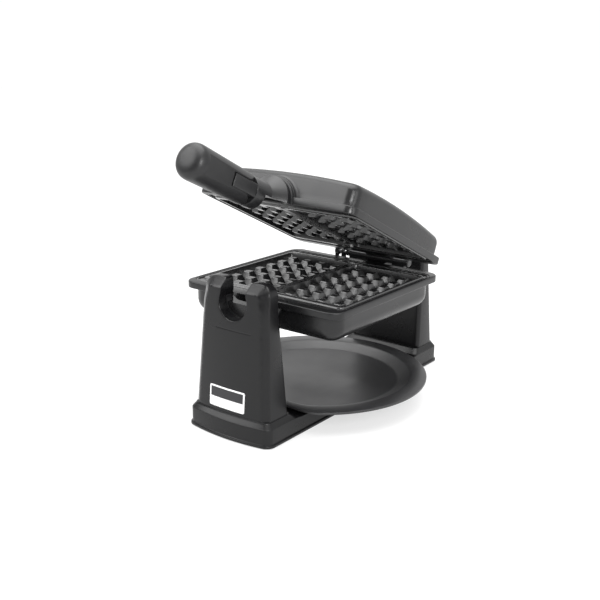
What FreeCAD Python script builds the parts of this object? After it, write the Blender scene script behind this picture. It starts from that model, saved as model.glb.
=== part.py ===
import FreeCAD, Part
import math
import os

# Rotary waffle maker. All lengths in millimetres, +Z up, +Y from the handle side to the back.
# Pieces are drawn with the lid shut, then the lid and its handle are swung open.

# Waffle plates
PITCH = 24.5              # stud spacing
COLS, ROWS = 4, 7         # studs in each waffle
DIVIDER = 12.4            # width of the bar between the two waffles at the plate floor
STUD_TOP, STUD_FOOT = 10.0, 19.6
STUD_H = 12.0
CAV_HX, CAV_HY = 108.5, 89.0
CAV_DRAFT = 3.5
LIP_HX, LIP_HY = 111.0, 96.5
PLATE_HX, PLATE_Y0, PLATE_Y1 = 116.4, -108.6, 106.4
PLATE_FLOOR = 152.4
PLATE_SKIN = 2.4
LIP_TOP = 166.9
MOAT_TOP = 164.8
EDGE_TOP = 166.3

# Lower housing
LOW_HX, LOW_Y0, LOW_Y1 = 121.4, -120.8, 119.2
LOW_TOP, BAND = 166.7, 9.1
SHELL_HX, SHELL_Y0, SHELL_Y1 = 114.0, -113.4, 109.6
SHELL_BOTTOM = 124.5
SHELL_R, SHELL_FILLET = 20.0, 18.0
WALL = 2.6

# Lid
LID_HX, LID_Y0, LID_Y1 = 119.0, -118.6, 121.8
RIM = 168.3
LID_BAND = 9.7
LID_R = 13.0
DOME_HX, DOME_Y0, DOME_Y1 = 111.7, -110.8, 119.4
DOME_H, DOME_SPHERE, DOME_Y = 47.1, 1190.0, -7.9
DOME_R, DOME_BACK_R, DOME_EDGE = 14.0, 23.0, 9.0

# Axes
FLIP_Z = 167.5
HINGE_Y, HINGE_Z = 139.5, 168.0
OPEN_DEG = 25.4
FOLD_Y = -186.3

# Lid hinge
BARREL_R, PIN_R, RUN = 5.0, 2.5, 0.05
BARREL_X = (-37.0, -6.0, 35.0, 54.5)
RING_X = (-58.0, -49.5, -41.0)
CAP_R = 6.2

# Front bell, neck and handle
BOSS_R, BELL_R, NECK_R = 34.3, 31.5, 18.6
BELL_Y0, BELL_Y1 = -126.0, -140.0
NECK_END = -167.8
FULL_NECK_Y = -151.2
JOURNAL_R, JOURNAL_END, JOURNAL_TOP = 19.55, -149.5, 163.5
TONGUE_HALF, TONGUE_HX, TONGUE_REACH = 7.85, 17.2, 22.5
SLOT_HALF, SLOT_END = 8.15, -212.3
GRIP_R0, GRIP_R1 = 19.6, 21.3
GRIP_Y0, GRIP_Y1, GRIP_TIP = -172.6, -258.8, -273.8
FLAT_HX = 17.6
FOLD_PIN_R = 4.0

# Rear shaft
SHAFT_R, SHAFT_BORE = 14.0, 9.0
SHAFT_Y0, SHAFT_Y1 = 148.6, 213.6

# Base
BAR_HX, BAR_Y0, BAR_Y1 = 64.0, -172.5, 227.0
BAR_BULGE, BAR_R = 7.5, 8.0
BAR_Z0, BAR_TOP, DECK_TOP = 1.4, 25.0, 23.0
DECK_Y0, DECK_Y1 = -116.0, 166.0
FOOT_R, FOOT_H = 9.0, 4.4
LIP_OUT, LIP_H = 2.0, 3.4
PILLAR_Z0, PILLAR_Z1 = 31.0, 193.6
PILLAR_HX0, PILLAR_HX1 = 58.2, 49.5
PILLAR_WALL, PILLAR_R = 3.0, 7.0
FRONT_Y = (-168.6, -126.5, -160.2, -138.5)
REAR_Y = (179.5, 223.0, 197.2, 216.0)
FRONT_BULGE = (4.5, 1.2)
REAR_BULGE = (4.5, 1.2)
HORN_R, HORN_Z = 14.0, 179.5
NOTCH_R, MOUTH_HX = 21.5, 19.3
CRADLE_R, CRADLE_Y0, CRADLE_Y1 = 19.6, -149.9, -141.6

# Drip tray
TRAY_Y, TRAY_R = 11.0, 147.5
TRAY_CUT = -112.0
TRAY_RIM, TRAY_RIM_T = 33.2, 3.6
TRAY_BASIN_R, TRAY_FLOOR_R = 126.0, 107.0
TRAY_BOTTOM, TRAY_SKIN = 23.2, 2.0

AX = FreeCAD.Vector(1, 0, 0)
AY = FreeCAD.Vector(0, 1, 0)
AZ = FreeCAD.Vector(0, 0, 1)

nodes = {}


def vec(x, y, z):
    return FreeCAD.Vector(x, y, z)


def box(x0, x1, y0, y1, z0, z1):
    return Part.makeBox(x1 - x0, y1 - y0, z1 - z0, vec(x0, y0, z0))


def rod_x(y, z, r, x0, x1):
    return Part.makeCylinder(r, x1 - x0, vec(x0, y, z), AX)


def rod_y(x, z, r, y0, y1):
    return Part.makeCylinder(r, y1 - y0, vec(x, y0, z), AY)


def rod_z(x, y, r, z0, z1):
    return Part.makeCylinder(r, z1 - z0, vec(x, y, z0), AZ)


def fuse(first, *others):
    return first.multiFuse(list(others)).removeSplitter()


def cut(first, *others):
    for other in others:
        first = first.cut(other)
    return first


def fillet(shape, r, wanted):
    return shape.makeFillet(r, [e for e in shape.Edges if wanted(e)])


def upright(edge):
    ends = [v.Point for v in edge.Vertexes]
    if len(ends) != 2:
        return False
    run = ends[1].sub(ends[0])
    return abs(run.z) > 0.95 * run.Length and run.Length > 1.0


def level_at(z):
    return lambda e: e.BoundBox.ZMax < z + 0.01 and e.BoundBox.ZMin > z - 0.01


def slab(hx, y0, y1, z0, z1, r, edge=0.0):
    # Rounded rectangular slab; edge rounds its top and bottom rims.
    body = fillet(box(-hx, hx, y0, y1, z0, z1), r, upright)
    if edge:
        body = fillet(body, edge, lambda e: level_at(z0)(e) or level_at(z1)(e))
    return body


def rect_wire(x0, x1, y0, y1, z):
    corners = [vec(x0, y0, z), vec(x1, y0, z), vec(x1, y1, z), vec(x0, y1, z)]
    return Part.makePolygon(corners + corners[:1])


def frustum(x, y, half0, half1, z0, z1):
    wires = [rect_wire(x - h, x + h, y - h, y + h, z) for h, z in ((half0, z0), (half1, z1))]
    return Part.makeLoft(wires, True, True)


def turned(profile, z=FLIP_Z):
    # Solid of revolution about the flip axis from (y, radius) points.
    first, last = profile[0][0], profile[-1][0]
    outline = [vec(0, first, z)] + [vec(0, y, z + r) for y, r in profile] + [vec(0, last, z)]
    return Part.Face(Part.makePolygon(outline + outline[:1])).revolve(vec(0, 0, z), AY, 360)


def above(z, reach=400.0):
    return box(-reach, reach, -reach, reach, z, z + reach)


def below(z, reach=400.0):
    return box(-reach, reach, -reach, reach, z - reach, z)


def bulged_wire(hx, y0, y1, front, back, z):
    # Rectangle whose front and back sides bow outwards by the given heights.
    a, b = vec(-hx, y0, z), vec(hx, y0, z)
    c, d = vec(hx, y1, z), vec(-hx, y1, z)
    sides = []
    for start, end, bow in ((a, b, -front), (c, d, back)):
        if abs(bow) < 0.01:
            sides.append(Part.makeLine(start, end))
        else:
            middle = (start + end) * 0.5 + vec(0, bow, 0)
            sides.append(Part.Arc(start, middle, end).toShape())
    return Part.Wire([sides[0], Part.makeLine(b, c), sides[1], Part.makeLine(d, a)])


def tower(low, high, z0, z1, r):
    # Tapering block between two bulged rectangles with rounded standing edges.
    body = Part.makeLoft([bulged_wire(*low, z0), bulged_wire(*high, z1)], True, True)
    return fillet(body, r, lambda e: e.BoundBox.ZLength > 0.9 * (z1 - z0))


def bell_profile(neck, end):
    # Trumpet from the ring groove down to the neck, then straight to its end.
    flare = []
    steps = 7
    for i in range(steps + 1):
        turn = math.radians(90.0 * i / steps)
        y = BELL_Y0 - (BELL_Y0 - BELL_Y1) * math.sin(turn)
        flare.append((y, neck + (BELL_R - neck) * (1 - math.sin(turn)) ** 1.15))
    return [(-120.6, 30.4), (-121.8, 30.4), (-121.8, BELL_R)] + flare + [(end, neck)]


def plate(facing):
    # Waffle plate with two stud fields; facing +1 has the studs up, -1 hangs from the lid.
    floor, tip = PLATE_FLOOR, PLATE_FLOOR + STUD_H
    brim = slab(PLATE_HX, PLATE_Y0, PLATE_Y1, MOAT_TOP - 2.0, EDGE_TOP, 12.0)
    moat = slab(PLATE_HX - 1.8, PLATE_Y0 + 1.8, PLATE_Y1 - 1.8, MOAT_TOP, LIP_TOP + 5, 10.2)
    lip = slab(LIP_HX, -LIP_HY, LIP_HY, MOAT_TOP - 1.0, LIP_TOP, 8.0)
    tub = slab(CAV_HX + 0.3, -CAV_HY - 1.0, CAV_HY + 1.0, floor - PLATE_SKIN, MOAT_TOP, 6.0)
    body = fuse(brim.cut(moat), lip, tub)
    inner = DIVIDER / 2.0
    wells = []
    for side in (-1, 1):
        wires = []
        for spread, z in ((0.0, floor), (CAV_DRAFT * 1.2, LIP_TOP + 1.4)):
            near = inner - spread * 0.3
            far = inner + COLS * PITCH + spread
            deep = ROWS * PITCH / 2.0 + spread
            wires.append(rect_wire(min(side * near, side * far), max(side * near, side * far),
                                   -deep, deep, z))
        wells.append(Part.makeLoft(wires, True, True))
    body = cut(body, *wells)
    studs = []
    for side in (-1, 1):
        for i in range(COLS):
            for j in range(ROWS):
                x = side * (inner + (i + 0.5) * PITCH)
                y = (j - (ROWS - 1) / 2.0) * PITCH
                studs.append(frustum(x, y, STUD_FOOT / 2.0, STUD_TOP / 2.0, floor - 0.4, tip))
    body = body.multiFuse(studs).removeSplitter()
    if facing < 0:
        body = body.mirror(vec(0, 0, (LOW_TOP + RIM) / 2.0 + 0.15), AZ)
    return body


def heater(z, x=74.0, y0=-60.0, y1=84.0, r=20.0, tube=3.3):
    # Tubular element bent to a U, with both ends turned to the back.
    a, b = vec(-x, y1, z), vec(-x, y0 + r, z)
    c, d = vec(-x + r, y0, z), vec(x - r, y0, z)
    e, f = vec(x, y0 + r, z), vec(x, y1, z)
    k = r * (1 - math.sqrt(0.5))
    path = Part.Wire([
        Part.makeLine(a, b),
        Part.Arc(b, vec(-x + k, y0 + k, z), c).toShape(),
        Part.makeLine(c, d),
        Part.Arc(d, vec(x - k, y0 + k, z), e).toShape(),
        Part.makeLine(e, f),
    ])
    ring = Part.Wire([Part.makeCircle(tube, a, AY)])
    return path.makePipeShell([ring], True, False)


def pan(hx, hy, z0, z1, skin):
    outer = slab(hx, -hy, hy, z0, z1, 8.0)
    return outer.cut(slab(hx - skin, -hy + skin, hy - skin, z0 + skin, z1 + 5, 7.0))


# ---------------------------------------------------------------- base
def bar_block(grow, z0, z1):
    low = (BAR_HX + grow, BAR_Y0 - grow, BAR_Y1 + grow, BAR_BULGE, BAR_BULGE)
    return tower(low, low, z0, z1, BAR_R + grow)


def shoulder(low_y0, low_y1, high_y0, high_y1, z0, z1):
    # Short sloping block that carries a pillar, bowed on its outer side only.
    bows = [BAR_BULGE - 0.5, FRONT_BULGE[0] + 0.3]
    front = [bow if low_y0 < 0 else 0.0 for bow in bows]
    back = [bow if low_y0 > 0 else 0.0 for bow in bows]
    low = (BAR_HX - 0.6, low_y0, low_y1, front[0], back[0])
    high = (PILLAR_HX0 + 1.1, high_y0, high_y1, front[1], back[1])
    return tower(low, high, z0, z1, PILLAR_R)


bar = fuse(bar_block(0.0, BAR_Z0, BAR_TOP), bar_block(LIP_OUT, BAR_Z0, BAR_Z0 + LIP_H))
bar = bar.cut(box(-80, 80, DECK_Y0, DECK_Y1, DECK_TOP, BAR_TOP + 1))
front_end = shoulder(BAR_Y0 + 0.5, DECK_Y0, FRONT_Y[0] - 0.8, FRONT_Y[1] + 2.5,
                     BAR_TOP - 0.5, PILLAR_Z0)
rear_end = shoulder(DECK_Y1, BAR_Y1 - 0.5, REAR_Y[0] - 5.5, REAR_Y[1] + 0.9,
                    BAR_TOP - 0.5, PILLAR_Z0)
bar = fuse(bar, front_end, rear_end)
room = bar_block(-PILLAR_WALL, BAR_Z0 - 1, DECK_TOP - PILLAR_WALL)
bar = bar.cut(room)

cover = bar_block(-PILLAR_WALL - 0.3, BAR_Z0 + 0.6, BAR_Z0 + 3.2)
FOOT_XY = [(x, y) for x in (-50.0, 50.0) for y in (-148.0, 198.0)]
SCREW_XY = [(x, y) for x in (-36.0, 36.0) for y in (-128.0, 10.0, 178.0)]
posts = []
for x, y in SCREW_XY:
    posts.append(rod_z(x, y, 5.0, BAR_Z0 + 3.3, DECK_TOP - PILLAR_WALL + 0.5))
bar = fuse(bar, *posts)
bar = cut(bar, *[rod_z(x, y, 1.95, BAR_Z0 + 3.0, 18.0) for x, y in SCREW_XY])
cover = cut(cover, *[rod_z(x, y, 2.1, 0, 8) for x, y in SCREW_XY])
cover = cut(cover, *[rod_z(x, y, 4.2, 0, BAR_Z0 + 1.7) for x, y in SCREW_XY])
cover = cut(cover, *[rod_z(x, y, 5.0, 0, 8) for x, y in FOOT_XY])
screws = []
for x, y in SCREW_XY:
    head = rod_z(x, y, 3.9, BAR_Z0 + 0.7, BAR_Z0 + 1.7)
    screws.append(head.fuse(rod_z(x, y, 1.9, BAR_Z0 + 1.7, 16.0)))
feet = []
for x, y in FOOT_XY:
    pad = rod_z(x, y, FOOT_R, 0, BAR_Z0 + 0.5)
    stem = rod_z(x, y, 4.9, BAR_Z0 + 0.4, BAR_Z0 + 4.2)
    barb = rod_z(x, y, 5.8, BAR_Z0 + 3.3, BAR_Z0 + 4.6)
    feet.append(fuse(pad, stem, barb))
nodes["base_cover"] = cover
nodes["base_feet"] = Part.makeCompound(feet)
nodes["base_screws"] = Part.makeCompound(screws)


def pillar_block(ys, bulge, front, inset, z0, z1, r):
    # Pillar taper extended or trimmed to any height.
    def section(z):
        t = (z - PILLAR_Z0) / (PILLAR_Z1 - PILLAR_Z0)
        hx = PILLAR_HX0 + (PILLAR_HX1 - PILLAR_HX0) * t - inset
        y0 = ys[0] + (ys[2] - ys[0]) * t + inset
        y1 = ys[1] + (ys[3] - ys[1]) * t - inset
        bow = bulge[0] + (bulge[1] - bulge[0]) * t
        return (hx, y0, y1, bow if front else 0.0, 0.0 if front else bow)
    return tower(section(z0), section(z1), z0, z1, r)


def notch_cutter():
    # Round seat with a narrower mouth, and a cone at the back that clears the bell.
    mouth = box(-MOUTH_HX, MOUTH_HX, -200, -100, FLIP_Z, 230)
    seat = rod_y(0, FLIP_Z, NOTCH_R, -200, -100)
    cone = Part.makeCone(CRADLE_R + 0.4, 40.0, 20.0, vec(0, -141.5, FLIP_Z), AY)
    over = box(-CRADLE_R - 0.4, CRADLE_R + 0.4, -141.5, -121.5, FLIP_Z, 230)
    return fuse(seat, mouth, cone, over)


pillar = pillar_block(FRONT_Y, FRONT_BULGE, True, 0.0, PILLAR_Z0 - 3, PILLAR_Z1, PILLAR_R)
top_back = Part.makePolygon([vec(-80, -150.5, PILLAR_Z1), vec(-80, -110, PILLAR_Z1 - 4.6),
                             vec(-80, -110, PILLAR_Z1 + 9), vec(-80, -150.5, PILLAR_Z1 + 9),
                             vec(-80, -150.5, PILLAR_Z1)])
top_front = Part.makePolygon([vec(-80, -151.5, PILLAR_Z1), vec(-80, -163.5, PILLAR_Z1 - 10.6),
                              vec(-80, -190, PILLAR_Z1 - 10.6), vec(-80, -190, PILLAR_Z1 + 9),
                              vec(-80, -151.5, PILLAR_Z1 + 9), vec(-80, -151.5, PILLAR_Z1)])
for outline in (top_back, top_front):
    pillar = pillar.cut(Part.Face(outline).extrude(vec(160, 0, 0)))
horn_t = (HORN_Z - PILLAR_Z0) / (PILLAR_Z1 - PILLAR_Z0)
horn_x = PILLAR_HX0 + (PILLAR_HX1 - PILLAR_HX0) * horn_t - HORN_R
corner = box(horn_x, 70, -200, -100, HORN_Z, 200)
corner = corner.cut(rod_y(horn_x, HORN_Z, HORN_R, -200, -100))
pillar = cut(pillar, corner, corner.mirror(vec(0, 0, 0), AX))
pillar = pillar.cut(notch_cutter())
hollow = pillar_block(FRONT_Y, FRONT_BULGE, True, PILLAR_WALL, PILLAR_Z0 - 4, 140.0, 4.5)
pillar = pillar.cut(hollow)
pillar = pillar.cut(below(PILLAR_Z0 + 0.02))

BADGE = (-30.0, 25.0, 36.0, 62.0)
badge_bed = box(BADGE[0], BADGE[1], -190, -100, BADGE[2], BADGE[3])
badge_bed = fillet(badge_bed, 2.0, lambda e: e.BoundBox.YLength > 50)
skin = pillar_block(FRONT_Y, FRONT_BULGE, True, -0.9, PILLAR_Z0, PILLAR_Z1, PILLAR_R)
inner_skin = pillar_block(FRONT_Y, FRONT_BULGE, True, 0.6, PILLAR_Z0, PILLAR_Z1, PILLAR_R)
badge = badge_bed.common(skin).cut(inner_skin).cut(box(-60, 60, -150, 0, 0, 200))
pillar = pillar.cut(badge)
nodes["badge_plate"] = badge

cradle = rod_y(0, FLIP_Z, NOTCH_R - 0.05, CRADLE_Y0, CRADLE_Y1)
cradle = cradle.cut(rod_y(0, FLIP_Z, CRADLE_R, CRADLE_Y0 - 1, CRADLE_Y1 + 1))
cradle = cradle.cut(above(FLIP_Z + 3.2))
nodes["front_cradle"] = cradle

rear = pillar_block(REAR_Y, REAR_BULGE, False, 0.0, PILLAR_Z0 - 3, PILLAR_Z1, 9.0)
room = pillar_block(REAR_Y, REAR_BULGE, False, PILLAR_WALL, PILLAR_Z0 - 4, PILLAR_Z1 - 4, 6.0)
rear = rear.cut(room)
rear = fillet(rear, 7.0, lambda e: level_at(PILLAR_Z1)(e) and e.BoundBox.YLength > 6)
rear = rear.cut(below(PILLAR_Z0 + 0.02))
hatch = box(-30, 30, 205, 260, 44, 176)
hatch = fillet(hatch, 5.0, lambda e: e.BoundBox.YLength > 50)
back_skin = pillar_block(REAR_Y, REAR_BULGE, False, PILLAR_WALL, PILLAR_Z0, PILLAR_Z1, 6.0)
lid_skin = pillar_block(REAR_Y, REAR_BULGE, False, 0.0, PILLAR_Z0, PILLAR_Z1, 9.0)
rear = rear.cut(hatch)
hatch_fill = box(-29.7, 29.7, 205, 260, 44.3, 175.7)
hatch_fill = fillet(hatch_fill, 4.7, lambda e: e.BoundBox.YLength > 50)
back_cover = hatch_fill.common(lid_skin).cut(back_skin)
gland_z = 58.0
back_cover = back_cover.cut(rod_y(0, gland_z, 8.05, 180, 260))
nodes["rear_pillar_cover"] = back_cover
gland = fuse(rod_y(0, gland_z, 7.95, 216.5, 231.6), rod_y(0, gland_z, 10.0, 231.6, 234.0),
             rod_y(0, gland_z, 10.0, 215.0, 217.4))
nodes["cord_inlet"] = gland.cut(rod_y(0, gland_z, 3.6, 200, 260))

rear = rear.cut(rod_y(0, FLIP_Z, 18.1, 180, 206))
bearing = fuse(rod_y(0, FLIP_Z, 18.0, 191.2, 206.0), rod_y(0, FLIP_Z, 22.0, 188.9, 191.4))
bearing = bearing.cut(rod_y(0, FLIP_Z, SHAFT_R + RUN, 180, 220))
nodes["rear_bearing"] = bearing
for name, shape in (("front_pillar", pillar), ("rear_pillar", rear)):
    nodes[name] = shape
nodes["base_housing"] = bar

block = fillet(box(-16, 16, 176, 192, 8.2, 19.0), 1.5, upright)
for x in (-9.0, 0.0, 9.0):
    block = block.cut(rod_y(x, 13.5, 2.2, 170, 200))
nodes["terminal_block"] = block

# ---------------------------------------------------------------- drip tray
rim = rod_z(0, TRAY_Y, TRAY_R, TRAY_RIM - TRAY_RIM_T, TRAY_RIM)
rim = rim.cut(box(-200, 200, -200, TRAY_CUT, 0, 60))
rim = fillet(rim, 14.0, lambda e: upright(e) and e.BoundBox.YMax < TRAY_CUT + 1)
rim = fillet(rim, 1.4, level_at(TRAY_RIM))
dish_out = Part.makeCone(TRAY_FLOOR_R + 1.0, TRAY_BASIN_R - 3.0, TRAY_RIM - TRAY_BOTTOM - 2.0,
                         vec(0, TRAY_Y, TRAY_BOTTOM), AZ)
dish_in = Part.makeCone(TRAY_FLOOR_R, TRAY_BASIN_R, TRAY_RIM - TRAY_BOTTOM - TRAY_SKIN + 0.01,
                        vec(0, TRAY_Y, TRAY_BOTTOM + TRAY_SKIN), AZ)
front_wall = box(-200, 200, -200, TRAY_CUT + 12.0, 0, 60)
tray = fuse(rim, dish_out.cut(box(-200, 200, -200, TRAY_CUT + 9.0, 0, 60)))
tray = tray.cut(dish_in.cut(front_wall))
nodes["drip_tray"] = tray

# ---------------------------------------------------------------- lower half
shell = slab(SHELL_HX, SHELL_Y0, SHELL_Y1, SHELL_BOTTOM, LOW_TOP - BAND + 1, SHELL_R)
shell = fillet(shell, SHELL_FILLET, level_at(SHELL_BOTTOM))
band = slab(LOW_HX, LOW_Y0, LOW_Y1, LOW_TOP - BAND, LOW_TOP, 16.0, 1.6)
boss = turned([(SHELL_Y0 + 8.0, BOSS_R), (-121.4, BOSS_R)]).common(below(LOW_TOP - 0.8))
housing = fuse(shell, band, boss)
inside = slab(SHELL_HX - WALL, SHELL_Y0 + WALL, SHELL_Y1 - WALL, SHELL_BOTTOM + WALL,
              LOW_TOP - BAND + 1, SHELL_R - WALL)
inside = fillet(inside, SHELL_FILLET - WALL, level_at(SHELL_BOTTOM + WALL))
pocket = slab(PLATE_HX + 0.2, PLATE_Y0 - 0.2, PLATE_Y1 + 0.2, MOAT_TOP - 2.1, LOW_TOP + 1, 12.2)
throat = slab(CAV_HX + 3.5, -CAV_HY - 5.0, CAV_HY + 5.0, LOW_TOP - BAND - 1, LOW_TOP, 8.0)
PLATE_SCREWS = [(x, y) for x in (-92.0, 92.0) for y in (-82.0, 80.0)]
housing = cut(housing, inside, pocket, throat)
for x, y in PLATE_SCREWS:
    housing = housing.fuse(rod_z(x, y, 5.5, SHELL_BOTTOM + WALL - 0.5, 138.8))
for x, y in PLATE_SCREWS:
    housing = cut(housing, rod_z(x, y, 4.3, SHELL_BOTTOM - 1, 129.5), rod_z(x, y, 2.1, 120, 150))
nodes["lower_housing"] = housing.removeSplitter()

low_plate = plate(1)
for x, y in PLATE_SCREWS:
    low_plate = low_plate.fuse(rod_z(x, y, 4.5, 139.0, PLATE_FLOOR - 1.0))
for x, y in PLATE_SCREWS:
    low_plate = low_plate.cut(rod_z(x, y, 1.95, 138, 149.5))
nodes["lower_plate"] = low_plate
plate_screws = []
for x, y in PLATE_SCREWS:
    plate_screws.append(rod_z(x, y, 3.9, 126.6, 129.5).fuse(rod_z(x, y, 1.9, 129.5, 148.5)))
nodes["lower_plate_screws"] = Part.makeCompound(plate_screws)

nodes["lower_heater"] = heater(PLATE_FLOOR - PLATE_SKIN - 3.35)
stat_x, stat_y = 0.0, 20.0
reflector = pan(86.0, 86.0, 139.4, 142.6, 0.6)
reflector = reflector.cut(rod_z(stat_x, stat_y, 15.0, 130, 150))
nodes["lower_reflector"] = reflector.cut(rod_z(-40, 20, 5.0, 130, 150))
stat = fuse(rod_z(stat_x, stat_y, 10.0, 146.0, 149.9), rod_z(stat_x, stat_y, 13.0, 134.0, 146.0),
            box(-3, 3, 32.0, 38.0, 138, 139), box(-3, 3, 2.0, 8.0, 138, 139))
nodes["lower_thermostat"] = stat
fuse_body = fuse(rod_x(20.0, 146.4, 2.2, -48.0, -32.0), rod_x(20.0, 146.4, 0.6, -56.0, -24.0))
nodes["lower_thermal_fuse"] = fuse_body

bell = turned(bell_profile(JOURNAL_R, JOURNAL_END))
bell = bell.cut(turned([(-120.0, 26.0), (-129.0, 26.0), (-137.0, 14.0)]))
bell = bell.common(below(LOW_TOP - 0.8))
bell = bell.cut(box(-60, 60, -200, BELL_Y0, JOURNAL_TOP, 260))
bell = bell.cut(box(-60, 60, -121.45, -100, 100, 260))
nodes["lower_journal"] = bell.removeSplitter()

# ---------------------------------------------------------------- hinge bracket and rear shaft
bracket = box(-62, 62, SHELL_Y1 + 0.1, 131.0, 146.0, 157.4)
bracket = fuse(bracket, box(-24, 24, 130, 156.5, 141.0, 162.4), box(-22, 22, 148.6, 156.5, 141, 181.0))
seats = [(-62.0, -60.3), (RING_X[1] - 1.6, RING_X[1] + 1.6), (BARREL_X[0], BARREL_X[1] - 0.25),
         (BARREL_X[2] + 0.25, BARREL_X[3])]
for x0, x1 in seats:
    arm = fuse(box(x0, x1, 128.0, HINGE_Y + 4.0, 146.0, 160.0),
               box(x0, x1, HINGE_Y - 4.0, HINGE_Y + 4.0, 150.0, HINGE_Z),
               rod_x(HINGE_Y, HINGE_Z, BARREL_R, x0, x1))
    bracket = bracket.fuse(arm)
bracket = bracket.cut(rod_x(HINGE_Y, HINGE_Z, PIN_R + 0.01, -70, 70))
bracket = bracket.cut(rod_y(0, FLIP_Z, SHAFT_R + 0.01, SHAFT_Y0 - 0.1, 160))
nodes["lower_hinge_bracket"] = bracket.removeSplitter()
nodes["hinge_pin"] = rod_x(HINGE_Y, HINGE_Z, PIN_R, -63.6, 59.0)
cap = rod_x(HINGE_Y, HINGE_Z, CAP_R, 54.6, 61.8)
cap = fillet(cap, 2.4, lambda e: e.BoundBox.XMin > 61.0)
cap = cap.cut(rod_x(HINGE_Y, HINGE_Z, PIN_R + 0.01, 50, 59.0))
nodes["hinge_cap"] = cap
shaft = rod_y(0, FLIP_Z, SHAFT_R, SHAFT_Y0, SHAFT_Y1)
shaft = shaft.cut(rod_y(0, FLIP_Z, SHAFT_BORE, 140, 230))
groove = rod_y(0, FLIP_Z, SHAFT_R + 1, 209.0, 210.4).cut(rod_y(0, FLIP_Z, 12.6, 208, 212))
nodes["rear_shaft"] = shaft.cut(groove)
clip = rod_y(0, FLIP_Z, 17.0, 209.1, 210.3).cut(rod_y(0, FLIP_Z, 12.7, 208, 212))
nodes["shaft_clip"] = clip.cut(box(-7, 7, 200, 220, 140, FLIP_Z))

# ---------------------------------------------------------------- lid (drawn shut)
def dome(inset):
    # Domed cover; the inset copy is the space inside it.
    top = RIM + DOME_H - inset
    block = box(-DOME_HX + inset, DOME_HX - inset, DOME_Y0 + inset, DOME_Y1 - inset,
                RIM + 5.0 - inset, top + 3)
    ball = Part.makeSphere(DOME_SPHERE, vec(0, DOME_Y, top - DOME_SPHERE))
    block = block.common(ball)
    back = DOME_Y1 - inset
    block = fillet(block, DOME_BACK_R - inset,
                   lambda e: e.BoundBox.YMin > back - 1 and e.BoundBox.XLength > 100
                   and e.BoundBox.ZMin > RIM + 10)
    block = fillet(block, DOME_R - inset, upright)
    return fillet(block, DOME_EDGE - inset,
                  lambda e: e.BoundBox.ZMin > RIM + 30 and e.BoundBox.YMin < DOME_Y0 + 20
                  and not upright(e))


lid_band = slab(LID_HX, LID_Y0, LID_Y1, RIM, RIM + LID_BAND, LID_R, 1.3)
lid_boss = turned([(DOME_Y0 + 10.0, BOSS_R), (-117.0, BOSS_R), (-117.0, BOSS_R - 0.4),
                   (-120.4, BOSS_R - 0.4)]).common(above(RIM + 0.1))
cover_out = dome(0.0)
cover_in = dome(WALL)
lid = fuse(cover_out, lid_band, lid_boss)
lid = lid.cut(cover_in)
mirror_z = (LOW_TOP + RIM) / 2.0 + 0.15


def flip_up(z):
    # Height in the lid plate that matches a height in the lower plate.
    return 2.0 * mirror_z - z


lid_pocket = slab(PLATE_HX + 0.2, PLATE_Y0 - 0.2, PLATE_Y1 + 0.2, RIM - 1,
                  flip_up(MOAT_TOP - 2.1), 12.2)
lid_throat = slab(CAV_HX + 2.4, -CAV_HY - 5.0, CAV_HY + 5.0, RIM, RIM + LID_BAND + 4, 8.0)
lid = cut(lid, lid_pocket, lid_throat)
lid_nodes = {"lid_housing": lid.removeSplitter(), "lid_plate": plate(-1)}
plate_back = flip_up(PLATE_FLOOR - PLATE_SKIN)
lid_nodes["lid_heater"] = heater(plate_back + 3.35)
lid_pan = pan(86.0, 86.0, 139.4, 142.6, 0.6).mirror(vec(0, 0, mirror_z), AZ)
lid_nodes["lid_reflector"] = lid_pan.cut(rod_z(-40, 20, 5.0, 180, 220))
fuse_z = plate_back + 3.0
lid_nodes["lid_thermal_fuse"] = fuse(rod_x(20.0, fuse_z, 2.2, -48.0, -32.0),
                                     rod_x(20.0, fuse_z, 0.6, -56.0, -24.0))
clips = []
for x in (-60.0, 60.0):
    for y, turn in ((-CAV_HY - 1.0, -1), (CAV_HY + 1.0, 1)):
        near, far = sorted((y + turn * 0.2, y + turn * 1.4))
        foot0, foot1 = sorted((y + turn * 0.2, y + turn * 12.0))
        clips.append(box(x - 6, x + 6, near, far, RIM + LID_BAND + 0.3, RIM + LID_BAND + 7.0)
                     .fuse(box(x - 6, x + 6, foot0, foot1, RIM + LID_BAND + 0.1,
                               RIM + LID_BAND + 1.2)))
lid_nodes["lid_plate_clips"] = Part.makeCompound(clips)

arms = box(-60.0, 54.0, LID_Y1 + 0.1, LID_Y1 + 3.4, RIM + 0.9, RIM + LID_BAND - 1.2)
spans = [(BARREL_X[1], BARREL_X[2]), (RING_X[0] - 1.7, RING_X[0] + 1.7),
         (RING_X[2] - 1.7, RING_X[2] + 1.7)]
for x0, x1 in spans:
    web = box(x0, x1, LID_Y1 + 0.1, HINGE_Y, RIM + 0.9, RIM + 5.0)
    web = web.cut(rod_x(HINGE_Y, HINGE_Z, BARREL_R - 0.5, x0 - 1, x1 + 1))
    arms = fuse(arms, web, rod_x(HINGE_Y, HINGE_Z, BARREL_R, x0, x1))
lid_nodes["lid_hinge_arms"] = arms.cut(rod_x(HINGE_Y, HINGE_Z, PIN_R + RUN, -80, 80))

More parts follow.
